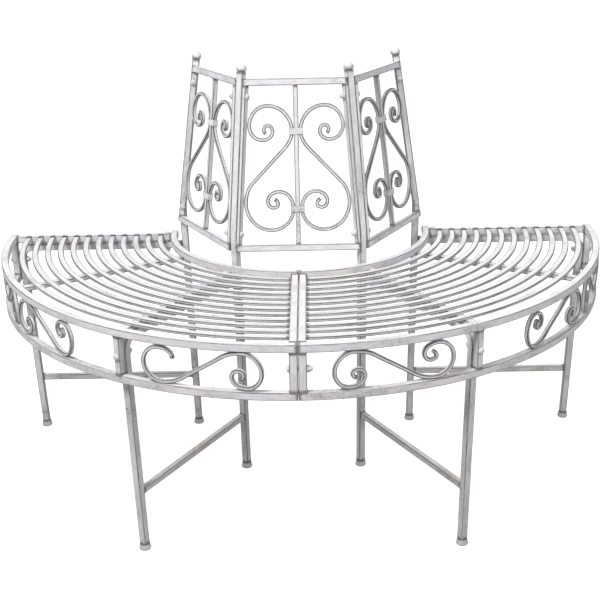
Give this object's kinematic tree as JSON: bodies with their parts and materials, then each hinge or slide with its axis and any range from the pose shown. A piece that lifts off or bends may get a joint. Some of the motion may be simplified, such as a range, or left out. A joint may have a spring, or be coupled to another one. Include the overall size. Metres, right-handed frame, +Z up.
{
  "type": "tree bench",
  "caption": "Half-round wrought iron tree bench with a slatted ring seat, scrollwork apron and three raked scroll back panels, in distressed antique white.",
  "frame": {"origin": "on the ground on the axis of the ring, which is the middle of the tree's trunk", "axes": "+Z up, +X along the open rear side from the left end frame to the right one, -Y towards the seat's front seam"},
  "size_m": [1.2332, 0.6295, 0.8245],
  "materials": {
    "frame_paint": "matt antique white paint brushed over grey, worn along edges",
    "slat_paint": "matt antique white paint, thinner and greyer on the seat",
    "scroll_paint": "matt antique white paint, dark in the curls",
    "fastener_paint": "painted over with the frame, worn grey at the crowns"
  },
  "bodies": {
    "root": {"seat_outer_rail_left": "frame_paint", "seat_inner_rail_left": "frame_paint", "apron_rail_left": "frame_paint", "seam_bar_left": "frame_paint", "end_bar_left": "frame_paint", "apron_uprights_left": "frame_paint", "seat_slats_left": "slat_paint", "seat_straps_left": "slat_paint", "front_scroll_left": "scroll_paint", "side_scrolls_left": "scroll_paint", "seat_outer_rail_right": "frame_paint", "seat_inner_rail_right": "frame_paint", "apron_rail_right": "frame_paint", "seam_bar_right": "frame_paint", "end_bar_right": "frame_paint", "apron_uprights_right": "frame_paint", "seat_slats_right": "slat_paint", "seat_straps_right": "slat_paint", "front_scroll_right": "scroll_paint", "side_scrolls_right": "scroll_paint", "front_leg_left_end": "frame_paint", "back_post_left_end": "frame_paint", "lower_brace_left_end": "frame_paint", "front_leg_left_front": "frame_paint", "back_post_left_front": "frame_paint", "lower_brace_left_front": "frame_paint", "front_leg_right_front": "frame_paint", "back_post_right_front": "frame_paint", "lower_brace_right_front": "frame_paint", "front_leg_right_end": "frame_paint", "back_post_right_end": "frame_paint", "lower_brace_right_end": "frame_paint", "foot_caps": "frame_paint", "post_finials": "frame_paint", "left_panel_top_rail": "frame_paint", "left_panel_bottom_rail": "frame_paint", "left_panel_center_bar": "frame_paint", "left_panel_left_stile": "frame_paint", "left_panel_right_stile": "frame_paint", "left_panel_left_scrolls": "scroll_paint", "left_panel_right_scrolls": "scroll_paint", "center_panel_top_rail": "frame_paint", "center_panel_bottom_rail": "frame_paint", "center_panel_center_bar": "frame_paint", "center_panel_left_stile": "frame_paint", "center_panel_right_stile": "frame_paint", "center_panel_left_scrolls": "scroll_paint", "center_panel_right_scrolls": "scroll_paint", "right_panel_top_rail": "frame_paint", "right_panel_bottom_rail": "frame_paint", "right_panel_center_bar": "frame_paint", "right_panel_left_stile": "frame_paint", "right_panel_right_stile": "frame_paint", "right_panel_left_scrolls": "scroll_paint", "right_panel_right_scrolls": "scroll_paint", "scroll_collars": "scroll_paint", "frame_bolts": "fastener_paint", "panel_bolts": "fastener_paint", "cap_nuts": "fastener_paint", "seat_spacers": "fastener_paint"}
  },
  "joints": []
}
